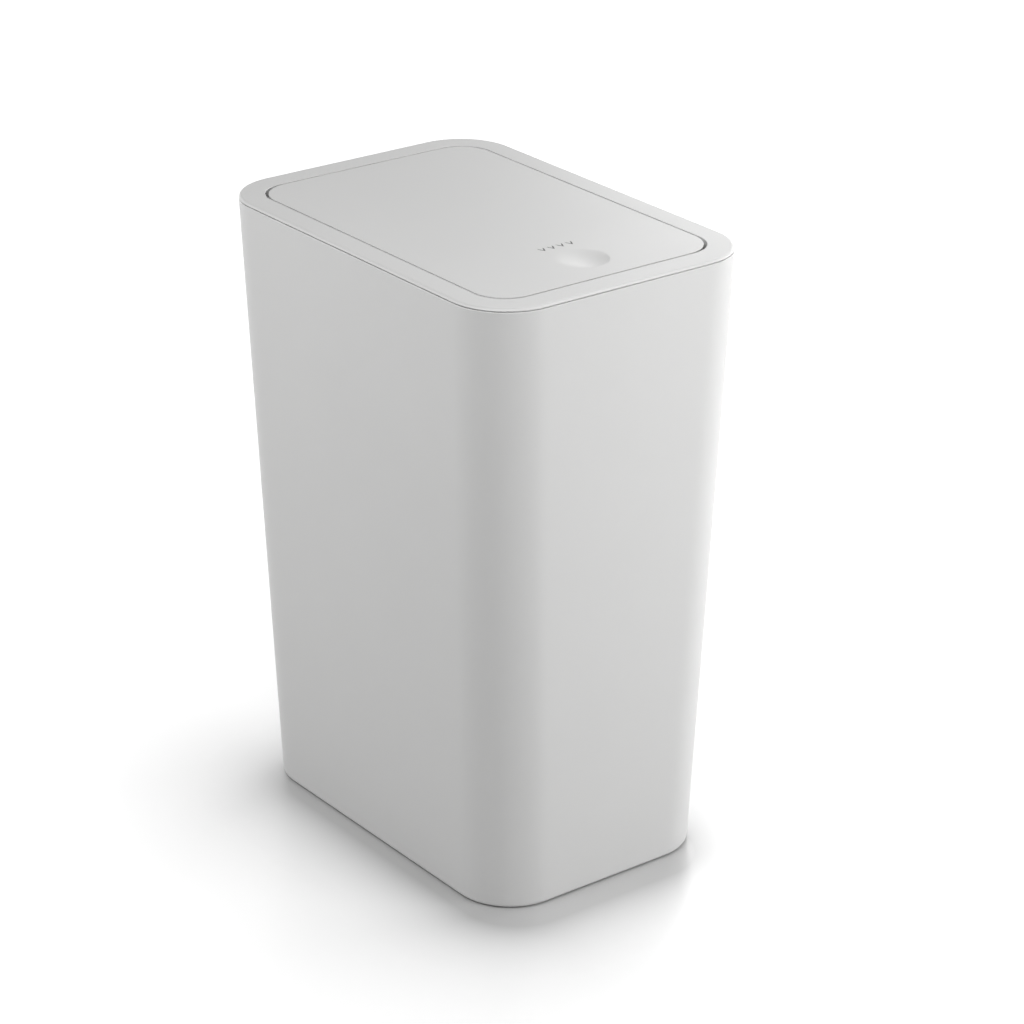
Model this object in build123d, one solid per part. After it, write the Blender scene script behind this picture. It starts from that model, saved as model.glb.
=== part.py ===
from build123d import *
import os
from math import acos, asin, atan2, ceil, cos, degrees, hypot, pi, radians, sin, sqrt, tan

# Push top countertop bin: a tapered bucket, a lid frame on its rim, a flush lid that is pressed at a
# dimple and springs open, a push-push catch, a damped hinge and a bag ring.
# Millimetres. +Z up, origin on the floor under the middle of the bin. X is across the bin and Y along
# it: the pressed end is at -Y and the hinge at +Y.

os.makedirs("parts", exist_ok=True)

# ---- driving dimensions ----------------------------------------------------------------------
HEIGHT = 350.0            # floor to the top of the frame and lid
TOP_X, TOP_Y = 87.2, 125.2    # half width and half length at the rim
BASE_X, BASE_Y = 74.6, 114.3  # half width and half length at the base
CORNER = 33.0             # radius of the body's corners, seen from above
WALL = 2.4                # bucket wall
FLOOR = 2.5               # bucket floor
PAD_PROUD = 0.5           # the body stands this far off the floor, on its pads
FOOT_DEPTH = 3.0          # hollow under the base, inside the foot rim

EDGE_R = 2.5              # rounding of the frame's outer edge
LIP = 1.2                 # height of the frame's edge above the groove
GROOVE, GROOVE_IN = 0.8, 1.4    # shadow groove between frame and bucket: height, depth
BAND = 2.4                # thickness of the frame's flat band and of the lid's skin

OPEN_X, OPEN_Y = 73.2, 110.45   # half sizes of the opening in the frame
OPEN_CORNER = 19.0
GAP = 1.2                 # gap between the lid and the frame
LID_CORNER = 19.5
SOFT_EDGE = 0.15          # rounding of the edges on both sides of the gap

HINGE_Y, HINGE_DROP = 90.0, 4.5     # hinge axis: distance from the middle, depth under the lid's top
PIN_R = 1.5               # hinge pins
RUN = 0.05                # radial clearance of a running fit
HOLD = 0.02               # radial clearance of a pin in the piece that holds it
SCREW_CLEAR = 0.2         # radial clearance of a screw's through hole
OPEN_TRAVEL = 80.0        # degrees that the lid opens

DIMPLE_R, DIMPLE_DEEP = 16.0, 2.6
DIMPLE_AT = (3.0, -82.0)
MARK_AT = (3.6, -59.2)
MARK_PITCH = 6.0

# ---- heights and places worked out from them -------------------------------------------------
RIM_Z = HEIGHT - LIP - GROOVE           # top of the bucket
BODY_Z = PAD_PROUD                      # bottom of the bucket's foot rim
FLOOR_Z = BODY_Z + FOOT_DEPTH           # underside of the bucket's floor
BAND_Z = HEIGHT - BAND                  # underside of the band and of the lid's skin
LID_X, LID_Y = OPEN_X - GAP, OPEN_Y - GAP
AXIS_Y, AXIS_Z = HINGE_Y, HEIGHT - HINGE_DROP

SKIRT_Z = 334.0                         # bottom of the frame's skirt, opening wall and ledge
LEDGE_TOP = SKIRT_Z + 2.0
LID_RIM_Z, REAR_RIM_Z = 339.0, 343.0    # bottom of the lid panel's rim, and behind the hinge
RIM_STEP_Y = AXIS_Y - 8.0               # where the ledge ends and the rim gets lower
LINER_Z, LINER_T, LINER_FIT = 341.0, 1.8, 0.15
SHELL = 1.8                             # thickness of rims, trays and small walls
FAR = 200.0                             # reach of a cut that takes all on one side
RING_Z = 326.0                          # ledge in the bucket that carries the bag ring

# Screws: length, shank radius, head radius and head height.
LID_SCREW = (5.4, 1.0, 2.2, 1.4)
STRIKER_SCREW = (4.2, 1.0, 2.1, 1.2)
LATCH_SCREW = (5.2, 1.2, 2.3, 1.3)
DAMPER_SCREW = (5.0, 0.9, 1.5, 0.8)


# ---- small shapes ----------------------------------------------------------------------------
def block(x0, x1, y0, y1, z0, z1):
    """Box between two corners."""
    centre = Pos((x0 + x1) / 2, (y0 + y1) / 2, (z0 + z1) / 2)
    return centre * Box(x1 - x0, y1 - y0, z1 - z0)


def slab(half_x, half_y, radius, z0, z1):
    """Upright prism with a rounded-rectangle plan, centred on the Z axis."""
    plan = RectangleRounded(2 * half_x, 2 * half_y, radius)
    return extrude(Pos(0, 0, z0) * plan, z1 - z0)


def body_plan(z, inset):
    """Half sizes and corner radius of the body's outer surface at height z, moved in by inset."""
    rise = (z - BODY_Z) / (RIM_Z - BODY_Z)
    half_x = BASE_X + (TOP_X - BASE_X) * rise - inset
    half_y = BASE_Y + (TOP_Y - BASE_Y) * rise - inset
    return half_x, half_y, CORNER - inset


def taper(z0, inset0, z1, inset1):
    """Solid between two of the body's plans."""
    plans = []
    for z, inset in ((z0, inset0), (z1, inset1)):
        half_x, half_y, radius = body_plan(z, inset)
        plans.append(Pos(0, 0, z) * RectangleRounded(2 * half_x, 2 * half_y, radius))
    return loft(plans, ruled=True)


def rod_x(x0, x1, y, z, radius):
    """Round rod along X."""
    return Pos((x0 + x1) / 2, y, z) * Rot(0, 90, 0) * Cylinder(radius, x1 - x0)


def rod_z(x, y, z0, z1, radius):
    """Round rod along Z."""
    return Pos(x, y, (z0 + z1) / 2) * Cylinder(radius, z1 - z0)


def edges_at(shape, z):
    """Edges that lie flat at height z."""
    return shape.edges().filter_by_position(Axis.Z, z - 1e-3, z + 1e-3)


def screw_up(x, y, z_head, size):
    """Pan-head screw that points up, with its head under z_head and a cross recess in it."""
    length, shank_r, head_r, head_t = size
    head = rod_z(x, y, z_head - head_t, z_head, head_r)
    head = fillet(edges_at(head, z_head - head_t), head_t * 0.45)
    for turn in (0, 90):
        slot = Rot(0, 0, turn) * Box(head_r * 1.2, head_r * 0.28, head_t)
        head -= Pos(x, y, z_head - head_t) * slot
    shank = rod_z(x, y, z_head, z_head + length, shank_r)
    shank = chamfer(edges_at(shank, z_head + length), shank_r * 0.5)
    return head + shank


def save(node, *solids):
    """Writes one node."""
    shape = solids[0] if len(solids) == 1 else Compound(children=list(solids))
    export_step(shape, f"parts/{node}.step")


# ---- bucket and its pads ---------------------------------------------------------------------
FOOT_FILLET = 2.0
RIM_FILLET = 0.4
FOOT_RIM = 4.5
FLOOR_FILLET = 4.0
LEDGE_IN = 2.0            # how far the bag ring's ledge stands in from the wall
LEDGE_DROP = 6.0
PAD_R, PAD_AT = 8.0, (50.0, 88.0)
PAD_FIT, SEAT_WALL, PAD_FILLET = 0.3, 1.7, 0.8


def bucket():
    outer = taper(BODY_Z, 0, RIM_Z, 0)
    outer = fillet(edges_at(outer, BODY_Z), FOOT_FILLET)
    outer = fillet(edges_at(outer, RIM_Z), RIM_FILLET)
    inside = taper(FLOOR_Z + FLOOR, WALL, RIM_Z, WALL)
    inside = fillet(edges_at(inside, FLOOR_Z + FLOOR), FLOOR_FILLET)
    half_x, half_y, radius = body_plan(BODY_Z, FOOT_RIM)
    under = slab(half_x, half_y, radius, BODY_Z, FLOOR_Z)
    ledge = taper(RING_Z - LEDGE_DROP, WALL / 2, RING_Z, WALL / 2)
    ledge -= taper(RING_Z - LEDGE_DROP, WALL + 0.2, RING_Z, WALL + LEDGE_IN)
    shell = outer - inside - under + ledge
    for x, y in pad_places():
        seat = rod_z(x, y, BODY_Z + 1.0, FLOOR_Z, PAD_R + PAD_FIT + SEAT_WALL)
        seat -= rod_z(x, y, BODY_Z + 1.0, FLOOR_Z, PAD_R + PAD_FIT)
        shell += seat
    return shell


def pad_places():
    """Centres of the four pads: front left, front right, rear left, rear right."""
    x, y = PAD_AT
    return [(-x, -y), (x, -y), (-x, y), (x, y)]


def foot_pad(x, y):
    pad = rod_z(x, y, 0, FLOOR_Z, PAD_R)
    return fillet(edges_at(pad, 0), PAD_FILLET)


# ---- bag ring --------------------------------------------------------------------------------
RING_CLEAR = 0.5          # bag ring to the bucket's wall
RING_T = 1.6
RING_DROP, RING_FILLET = 18.0, 0.5
HANG_CLEAR = 0.6          # bag ring's wall to the bucket's ledge
GRIP_X, GRIP_DEEP, GRIP_CORNER = 26.0, 6.0, 5.0


def bag_ring():
    """L-shaped ring: a flange on the bucket's ledge and a wall that hangs inside it."""
    flange = slab(*body_plan(RING_Z, WALL + RING_CLEAR), RING_Z, RING_Z + RING_T)
    hang = WALL + LEDGE_IN + HANG_CLEAR
    wall = slab(*body_plan(RING_Z, hang), RING_Z - RING_DROP, RING_Z + RING_T)
    mouth = slab(*body_plan(RING_Z, hang + RING_T), RING_Z - RING_DROP, RING_Z + RING_T)
    ring = flange + wall - mouth
    ring = fillet(edges_at(ring, RING_Z + RING_T), RING_FILLET)
    for side in (-1, 1):
        x = side * body_plan(RING_Z, hang + RING_T / 2)[0]
        grip = RectangleRounded(GRIP_X, 2 * GRIP_DEEP, GRIP_CORNER)
        cut = extrude(Plane.YZ * grip, 4, both=True)
        ring -= Pos(x, 0, RING_Z - RING_DROP) * cut
    return ring


# ---- hinge stations along X, for the right side ----------------------------------------------
KNUCKLE_R = 3.0
INNER_KNUCKLE = (46.0, 51.4)
SPRING_SPAN = (52.5, 58.4)
LUG = (59.0, 64.0)
OUTER_KNUCKLE = (64.4, 70.0)
PIN_SPAN = (45.6, 70.1)
SPRING_WIRE, SPRING_R = 0.4, 2.3        # torsion springs: half the wire's thickness, coil radius
BAR_FRONT = AXIS_Y - 25.0               # where the liner's bars meet its plate
LINER_REAR = AXIS_Y - 23.0
LEG_LOW_Z = LEDGE_TOP - 3.0             # lower end of the spring's frame leg


def mirrored(span, side):
    """A span on the positive side of the middle (1) or its mirror image (-1)."""
    return (span[0], span[1]) if side > 0 else (-span[1], -span[0])


# ---- gear sector and pinion ------------------------------------------------------------------
MODULE = 0.8
SECTOR_TEETH, PINION_TEETH = 25, 12     # the sector is part of a 25-tooth wheel
ADDENDUM, DEDENDUM = 0.75 * MODULE, 1.1 * MODULE
BACKLASH = 0.12
PRESSURE = radians(20)
GEAR_X = 36.6             # middle of the gear pair
GEAR_HALF = 2.0
PINION_HALF = 2.4
SECTOR_R, PINION_R = MODULE * SECTOR_TEETH / 2, MODULE * PINION_TEETH / 2
PINION_DROP = 7.0         # pinion axis under the hinge axis
CENTRES = SECTOR_R + PINION_R
PINION_Y = AXIS_Y - sqrt(CENTRES ** 2 - PINION_DROP ** 2)
PINION_Z = AXIS_Z - PINION_DROP
MESH_ANGLE = -180 + degrees(asin(PINION_DROP / CENTRES))   # from the hinge axis to the pinion


def involute(angle):
    """Involute function of a pressure angle in radians."""
    return tan(angle) - angle


def tooth_half_angle(teeth, radius):
    """Half of a tooth's angle at a radius, in radians."""
    pitch_r = MODULE * teeth / 2
    base_r = pitch_r * cos(PRESSURE)
    at_pitch = pi / (2 * teeth) - BACKLASH / (4 * pitch_r)
    slope = acos(min(1.0, base_r / radius))
    return at_pitch + involute(PRESSURE) - involute(slope)


def gear_face(teeth, angles):
    """Disc with teeth whose middles are at the given angles in degrees, in the XY plane."""
    pitch_r = MODULE * teeth / 2
    root_r, tip_r = pitch_r - DEDENDUM, pitch_r + ADDENDUM
    base_r = max(pitch_r * cos(PRESSURE), root_r)
    gear = Circle(root_r)
    radii = (base_r, (base_r + tip_r) / 2, tip_r)
    for middle in angles:
        flanks = []
        for side in (-1, 1):
            flank = []
            for r in radii:
                at = radians(middle) + side * tooth_half_angle(teeth, r)
                flank.append((r * cos(at), r * sin(at)))
            foot = radians(middle) + side * tooth_half_angle(teeth, base_r)
            inner = root_r - 0.3
            flanks.append([(inner * cos(foot), inner * sin(foot))] + flank)
        left, right = flanks
        top = (tip_r * cos(radians(middle)), tip_r * sin(radians(middle)))
        outline = Line(left[0], left[1]) + ThreePointArc(left[1], left[2], left[3])
        outline += ThreePointArc(left[3], top, right[3])
        outline += ThreePointArc(right[3], right[2], right[1]) + Line(right[1], right[0])
        outline += Line(right[0], left[0])
        gear += make_face(outline)
    return gear


def across(face, half, y, z):
    """Stands an XY face up at (GEAR_X, y, z), square to X, with a thickness of 2 * half along X."""
    return Pos(GEAR_X, y, z) * extrude(Plane.YZ * face, half, both=True)


def gear_sector():
    """Teeth under the hinge axis, in mesh with the pinion from pressed to open."""
    step = 360 / SECTOR_TEETH
    angles = [MESH_ANGLE + step * k for k in range(-1, ceil(OPEN_TRAVEL / step) + 1)]
    face = gear_face(SECTOR_TEETH, angles)
    first, last = radians(angles[0] - step / 2), radians(angles[-1] + step / 2)
    far = 2 * SECTOR_R
    mid = (first + last) / 2
    corners = [(0, 0)] + [(far * cos(a), far * sin(a)) for a in (first, mid, last)]
    pie = make_face(Polyline(*corners, close=True))
    return across(face & pie, GEAR_HALF, AXIS_Y, AXIS_Z)


def damper_pinion():
    """Twelve-tooth pinion with the damper's rotor shaft, a space facing the sector's tooth."""
    step = 360 / PINION_TEETH
    angles = [MESH_ANGLE + 180 + step * (k + 0.5) for k in range(PINION_TEETH)]
    gear = across(gear_face(PINION_TEETH, angles), PINION_HALF, PINION_Y, PINION_Z)
    return gear + rod_x(GEAR_X, DAMPER_X[1] - 1.0, PINION_Y, PINION_Z, PIN_R)


# ---- damper ----------------------------------------------------------------------------------
DAMPER_X = (GEAR_X + 3.0, GEAR_X + 8.6)
DAMPER_R = 7.0
CLIP_T = 1.2
CLIP_FOOT = 3.6
CRADLE_TOP = PINION_Z


def damper_body():
    """Round oil damper with a bore for its rotor and a raised ring on its outer face."""
    x0, x1 = DAMPER_X
    body = rod_x(x0, x1, PINION_Y, PINION_Z, DAMPER_R)
    body = chamfer(body.edges().filter_by(GeomType.CIRCLE).sort_by(Axis.X)[-1], 0.5)
    body -= rod_x(x0, x1 - 0.6, PINION_Y, PINION_Z, PIN_R + RUN)
    return body


def damper_clip():
    """Strap over the damper with a foot on each side."""
    x0, x1 = DAMPER_X
    arch = rod_x(x0, x1, PINION_Y, PINION_Z, DAMPER_R + HOLD + CLIP_T)
    reach = DAMPER_R + CLIP_T + CLIP_FOOT
    feet = block(x0, x1, PINION_Y - reach, PINION_Y + reach, CRADLE_TOP, CRADLE_TOP + CLIP_T)
    clip = arch + feet - rod_x(x0, x1, PINION_Y, PINION_Z, DAMPER_R + HOLD)
    clip -= block(x0, x1, PINION_Y - 20, PINION_Y + 20, CRADLE_TOP - 20, CRADLE_TOP)
    for x, y in damper_screw_places():
        clip -= rod_z(x, y, CRADLE_TOP, CRADLE_TOP + CLIP_T, DAMPER_SCREW[1] + RUN)
    return clip


def damper_screw_places():
    x = (DAMPER_X[0] + DAMPER_X[1]) / 2
    reach = DAMPER_R + CLIP_T + CLIP_FOOT / 2 + 0.3
    return [(x, PINION_Y - reach), (x, PINION_Y + reach)]


def screw_down(x, y, z_head, size):
    """The same screw, pointing down, with its head on z_head."""
    return Pos(x, y, z_head) * Rot(180, 0, 0) * screw_up(0, 0, 0, size)


def damper_screws():
    return [screw_down(x, y, CRADLE_TOP + CLIP_T, DAMPER_SCREW) for x, y in damper_screw_places()]


# ---- catch -----------------------------------------------------------------------------------
LATCH_Y = -103.0
LATCH_UP, LATCH_DOWN = 6.0, 2.5         # slider travel from its locked rest
SLIDER_X, SLIDER_Y = 6.0, 4.1           # half sizes of the slider
SLIDE_GAP = 0.3
SLIDER_Z = (312.0, 332.0)
TIP_Z = 327.5                           # lowest point of the striker
SLOT_Z = TIP_Z - LATCH_UP - 3.0         # floor of the slider's mouth
SPRING_SEAT, SPRING_SEAT_R = 3.0, 3.3
CATCH_WIRE, CATCH_COIL_R, CATCH_TURNS = 0.3, 2.5, 5     # half the wire's thickness, coil radius
HOUSING_X, HOUSING_WALL = 8.5, 2.0
HOUSING_Z = (306.0, 332.0)
HOUSING_FLOOR = SLIDER_Z[0] - LATCH_DOWN - 1.5
FLANGE_X, FLANGE_Y, FLANGE_CORNER = 19.0, 6.4, 3.0
FLANGE_SHIFT = 0.2
PIN_ROOM = 0.8                          # room for the guide pin in front of the slider
GUIDE_R, GUIDE_FOOT = 0.35, 1.0
GUIDE_Y = LATCH_Y - SLIDER_Y - SLIDE_GAP - 0.3
COVER_T = 1.2
LATCH_SCREW_X = 14.5
HEAD_X, STEM_X, STEM_Y = 3.2, 1.8, 1.6
STRIKER_SCREW_X = 12.0
PLATE_X, PLATE_Y, PLATE_CORNER = 15.5, 4.2, 2.0     # the striker's plate


def latch_housing():
    """Box open at the top and at the front, under a flange that screws to the frame's shelf."""
    front = LATCH_Y - SLIDER_Y - SLIDE_GAP - PIN_ROOM
    back = LATCH_Y + SLIDER_Y + SLIDE_GAP
    room_x = SLIDER_X + SLIDE_GAP
    box = block(-HOUSING_X, HOUSING_X, front, back + HOUSING_WALL, *HOUSING_Z)
    flange = slab(FLANGE_X, FLANGE_Y, FLANGE_CORNER, HOUSING_Z[1], SKIRT_Z)
    box += Pos(0, LATCH_Y + FLANGE_SHIFT, 0) * flange
    box -= block(-room_x, room_x, front + PIN_ROOM, back, HOUSING_FLOOR, SKIRT_Z)
    box -= block(-room_x, room_x, front - 2, front + PIN_ROOM, HOUSING_FLOOR + 1, HOUSING_Z[1] - 1)
    box -= rod_z(0, GUIDE_Y, HOUSING_FLOOR - GUIDE_FOOT, HOUSING_FLOOR + 1, GUIDE_R + HOLD)
    for side in (-1, 1):
        box -= rod_z(side * LATCH_SCREW_X, LATCH_Y, HOUSING_Z[1], SKIRT_Z, LATCH_SCREW[1] + 2 * SCREW_CLEAR)
    return box


def latch_cover():
    """Plate that closes the housing's front and keeps the guide pin in."""
    front = LATCH_Y - SLIDER_Y - SLIDE_GAP - PIN_ROOM
    plate = block(-HOUSING_X, HOUSING_X, front - COVER_T, front, *HOUSING_Z)
    rib = block(-1.2, 1.2, front - COVER_T - 0.6, front - COVER_T, HOUSING_Z[0] + 3, HOUSING_Z[1] - 3)
    return chamfer(plate.edges().filter_by(Axis.Y), 1.0) + rib


def latch_slider():
    """Block with two jaws around the striker, a cam track in front and a spring seat below."""
    z0, z1 = SLIDER_Z
    y0, y1 = LATCH_Y - SLIDER_Y, LATCH_Y + SLIDER_Y
    slider = block(-SLIDER_X, SLIDER_X, y0, y1, z0, z1)
    slider -= block(-4.3, 4.3, y0 - 1, y1 + 1, SLOT_Z, z1)
    for side in (-1, 1):
        nose = [(side * 4.4, z1 - 2.2), (side * 3.5, z1 - 1.4), (side * 4.2, z1), (side * 4.4, z1)]
        face = make_face(Polyline(*nose, close=True))
        slider += Pos(0, LATCH_Y, 0) * extrude(Plane.XZ * face, SLIDER_Y, both=True)
    slider -= rod_z(0, LATCH_Y, z0, z0 + SPRING_SEAT, SPRING_SEAT_R)
    track = RectangleRounded(5.0, 5.4, 1.2) - RectangleRounded(2.2, 2.4, 0.6)
    depth = extrude(Plane.XZ * track, 1.0, both=True)
    slider -= Pos(0, y0, z0 + 3.2) * depth
    return slider


def latch_pin():
    """Steel wire in front of the slider: foot in the housing, rounded tip at the cam track."""
    top = SLIDER_Z[0] + 3.0
    stem = rod_z(0, GUIDE_Y, HOUSING_FLOOR - GUIDE_FOOT, top, GUIDE_R)
    return stem + Pos(0, GUIDE_Y, top) * Sphere(GUIDE_R)


def latch_screws():
    return [screw_up(side * LATCH_SCREW_X, LATCH_Y, HOUSING_Z[1], LATCH_SCREW) for side in (-1, 1)]


def latch_spring():
    """Compression spring between the housing's floor and the slider's seat."""
    low, high = HOUSING_FLOOR + CATCH_WIRE, SLIDER_Z[0] + SPRING_SEAT - CATCH_WIRE
    return Pos(0, LATCH_Y, low) * coil(CATCH_COIL_R, CATCH_WIRE, high - low, CATCH_TURNS)


def coil(radius, wire, length, turns):
    """Helical wire around the Z axis, from z = 0 to z = length."""
    path = Helix(pitch=length / turns, height=length, radius=radius)
    start = Plane(origin=path @ 0, z_dir=path % 0)
    return sweep(start * Circle(wire), path=path, is_frenet=True)


def lid_striker():
    """T-headed tongue that hangs from a plate on top of the liner."""
    plate_z = LINER_Z + LINER_T
    top = plate_z + SHELL
    plate = Pos(0, LATCH_Y, 0) * slab(PLATE_X, PLATE_Y, PLATE_CORNER, plate_z, top)
    stem = block(-STEM_X, STEM_X, LATCH_Y - STEM_Y, LATCH_Y + STEM_Y, TIP_Z, top)
    head = block(-HEAD_X, HEAD_X, LATCH_Y - STEM_Y, LATCH_Y + STEM_Y, TIP_Z, TIP_Z + 3.0)
    head = chamfer(edges_at(head, TIP_Z).filter_by(Axis.Y), 1.2)
    striker = plate + stem + head
    for side in (-1, 1):
        striker -= rod_z(side * STRIKER_SCREW_X, LATCH_Y, plate_z, top, STRIKER_SCREW[1] + HOLD)
    return striker


def striker_screws():
    spots = [(side * STRIKER_SCREW_X, LATCH_Y) for side in (-1, 1)]
    return [screw_up(x, y, LINER_Z, STRIKER_SCREW) for x, y in spots]


# ---- lid frame -------------------------------------------------------------------------------
SKIRT_CLEAR = 0.5         # skirt to the bucket's wall
SKIRT_T = 1.6
LEDGE_WIDE = 3.0
POCKET_Y0, POCKET_Z = AXIS_Y - 28.0, 328.0      # pockets at the sides that hold the hinge
POCKET_IN = {-1: 44.0, 1: 32.0}                 # their inner ends: left, right with the damper
POCKET_OUT = 66.0                               # outer end behind the step in the lid's rim
POCKET_REAR = AXIS_Y - 1.2
POCKET_REAR_TOP = AXIS_Z - SECTOR_R - ADDENDUM - 0.9
SHELF_X, SHELF_Y1 = 22.0, -91.0                 # shelf that carries the catch
BUFFER_X = (30.0, 50.0)
BUFFER_T, BUFFER_PROUD, BUFFER_HALF = 0.75, 0.25, 0.7
BUFFER_Y = -108.6
RIB_T, RIB_X, RIB_Y = 1.4, (-45, -15, 15, 45), (-80, -48, -16, 16, 48, 80)


def lid_frame():
    frame = frame_band()
    frame += hinge_pocket(-1) + hinge_pocket(1) + damper_cradle()
    frame += frame_shelf()
    frame += frame_ribs()
    for side in (-1, 1):
        x0, x1 = mirrored(BUFFER_X, side)
        y0, y1 = BUFFER_Y - BUFFER_HALF, BUFFER_Y + BUFFER_HALF
        frame -= block(x0, x1, y0, y1, LEDGE_TOP - BUFFER_T + BUFFER_PROUD, LEDGE_TOP)
    return frame


def frame_band():
    """Flat band with its rounded edge, the skirt, the opening's wall and the ledge under the lid."""
    out = EDGE_R * (1 - sqrt(1 - (1 - LIP / EDGE_R) ** 2))      # what the groove cuts off the rounding
    lip_z = HEIGHT - LIP
    edge = slab(TOP_X + out, TOP_Y + out, CORNER + out, HEIGHT - 2 * EDGE_R, HEIGHT)
    edge = fillet(edges_at(edge, HEIGHT), EDGE_R)
    edge -= block(-FAR, FAR, -FAR, FAR, HEIGHT - 3 * EDGE_R, lip_z)
    land = slab(TOP_X - GROOVE_IN, TOP_Y - GROOVE_IN, CORNER - GROOVE_IN, RIM_Z, lip_z)
    skirt_plan = body_plan(SKIRT_Z, WALL + SKIRT_CLEAR)
    skirt = slab(*skirt_plan, SKIRT_Z, lip_z)
    half_x, half_y, radius = skirt_plan
    skirt -= slab(half_x - SKIRT_T, half_y - SKIRT_T, radius - SKIRT_T, SKIRT_Z, BAND_Z)
    wall = slab(OPEN_X + SHELL, OPEN_Y + SHELL, OPEN_CORNER + SHELL, SKIRT_Z, lip_z)
    band = edge + land + skirt + wall
    band -= slab(OPEN_X, OPEN_Y, OPEN_CORNER, SKIRT_Z - 1, HEIGHT + 1)
    inner = [edge for edge in edges_at(band, HEIGHT) if in_opening(edge)]
    band = fillet(inner, SOFT_EDGE)
    ledge = slab(OPEN_X + 0.5, OPEN_Y + 0.5, OPEN_CORNER + 0.5, SKIRT_Z, LEDGE_TOP)
    inner_r = OPEN_CORNER - LEDGE_WIDE
    ledge -= slab(OPEN_X - LEDGE_WIDE, OPEN_Y - LEDGE_WIDE, inner_r, SKIRT_Z, LEDGE_TOP)
    ledge -= block(-OPEN_X, OPEN_X, RIM_STEP_Y, OPEN_Y, SKIRT_Z, LEDGE_TOP)
    return band + ledge


def in_opening(edge):
    """Whether an edge of the band's top lies on the opening's outline."""
    middle = edge @ 0.5
    return abs(middle.X) < OPEN_X + 1e-3 and abs(middle.Y) < OPEN_Y + 1e-3


def hinge_pocket(side):
    """Open pocket on the opening's side wall, with the hinge lug and the stop of the spring's leg."""
    inner = POCKET_IN[side]
    x0, x1 = mirrored((inner, OPEN_X + SHELL / 2), side)
    pocket = block(x0, x1, POCKET_Y0, RIM_STEP_Y, POCKET_Z, LEDGE_TOP)
    x0, x1 = mirrored((inner, POCKET_OUT), side)
    pocket += block(x0, x1, RIM_STEP_Y, POCKET_REAR, POCKET_Z, POCKET_REAR_TOP)
    x0, x1 = mirrored((inner + SHELL, POCKET_OUT - SHELL), side)
    pocket -= block(x0, x1, POCKET_Y0 + SHELL, POCKET_REAR - SHELL, POCKET_Z + SHELL, LEDGE_TOP)
    x0, x1 = mirrored(LUG, side)
    stop_x0, stop_x1 = mirrored((LUG[0] - 3.0, LUG[0]), side)
    leg_x, leg_y = side * SPRING_SPAN[1], AXIS_Y - SPRING_R
    stop = block(stop_x0, stop_x1, AXIS_Y - 5, POCKET_REAR, POCKET_Z + SHELL / 2, LEDGE_TOP)
    leg_hole = rod_z(leg_x, leg_y, LEG_LOW_Z - 0.2, LEDGE_TOP, SPRING_WIRE + RUN)
    return pocket + hinge_lug(x0, x1) + stop - leg_hole


def damper_cradle():
    """Block under the damper, with half of its seat and the holes of the clip's screws."""
    x0, x1 = DAMPER_X
    reach = DAMPER_R + CLIP_T + CLIP_FOOT
    cradle = block(x0, x1, PINION_Y - reach, PINION_Y + reach, POCKET_Z + SHELL / 2, CRADLE_TOP)
    cradle -= rod_x(x0, x1, PINION_Y, PINION_Z, DAMPER_R + HOLD)
    for x, y in damper_screw_places():
        cradle -= rod_z(x, y, CRADLE_TOP - DAMPER_SCREW[0] - 1, CRADLE_TOP, DAMPER_SCREW[1] + HOLD)
    return cradle


def hinge_lug(x0, x1):
    """Upright lug with the pin's bore. Its stem stays in front of the axis, clear of the open lid."""
    foot = block(x0, x1, AXIS_Y - 10, POCKET_REAR, POCKET_Z + SHELL / 2, AXIS_Z - 7)
    stem = block(x0, x1, AXIS_Y - KNUCKLE_R, AXIS_Y, AXIS_Z - 7.5, AXIS_Z)
    eye = rod_x(x0, x1, AXIS_Y, AXIS_Z, KNUCKLE_R)
    return foot + stem + eye - rod_x(x0 - 1, x1 + 1, AXIS_Y, AXIS_Z, PIN_R + RUN)


def frame_shelf():
    """Shelf across the front, with a window for the striker and bosses for the catch's screws."""
    shelf = block(-SHELF_X, SHELF_X, -OPEN_Y - 0.5, SHELF_Y1, SKIRT_Z, LEDGE_TOP)
    shelf = fillet(shelf.edges().filter_by(Axis.Z).group_by(Axis.Y)[-1], 5)
    room_y = SLIDER_Y + SLIDE_GAP
    shelf -= block(-SLIDER_X - 0.5, SLIDER_X + 0.5, LATCH_Y - room_y, LATCH_Y + room_y, SKIRT_Z, LEDGE_TOP)
    for side in (-1, 1):
        shelf -= rod_z(side * LATCH_SCREW_X, LATCH_Y, SKIRT_Z, LEDGE_TOP, LATCH_SCREW[1] + HOLD)
    return shelf


def frame_ribs():
    """Stiffening ribs between the opening's wall and the skirt, all round."""
    half_x, half_y, _ = body_plan(SKIRT_Z, WALL + SKIRT_CLEAR + SKIRT_T / 2)
    wall_x, wall_y = OPEN_X + SHELL / 2, OPEN_Y + SHELL / 2
    z0 = SKIRT_Z + 5
    ribs = Part()
    for y in RIB_Y:
        for side in (-1, 1):
            x0, x1 = mirrored((wall_x, half_x), side)
            ribs += block(x0, x1, y - RIB_T / 2, y + RIB_T / 2, z0, BAND_Z + 0.5)
    for x in RIB_X:
        for side in (-1, 1):
            y0, y1 = mirrored((wall_y, half_y), side)
            ribs += block(x - RIB_T / 2, x + RIB_T / 2, y0, y1, z0, BAND_Z + 0.5)
    return ribs


def lid_buffer(side):
    """Rubber strip let into the ledge."""
    x0, x1 = mirrored(BUFFER_X, side)
    y0, y1 = BUFFER_Y - BUFFER_HALF, BUFFER_Y + BUFFER_HALF
    return block(x0, x1, y0, y1, LEDGE_TOP - BUFFER_T + BUFFER_PROUD, LEDGE_TOP + BUFFER_PROUD)


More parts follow.
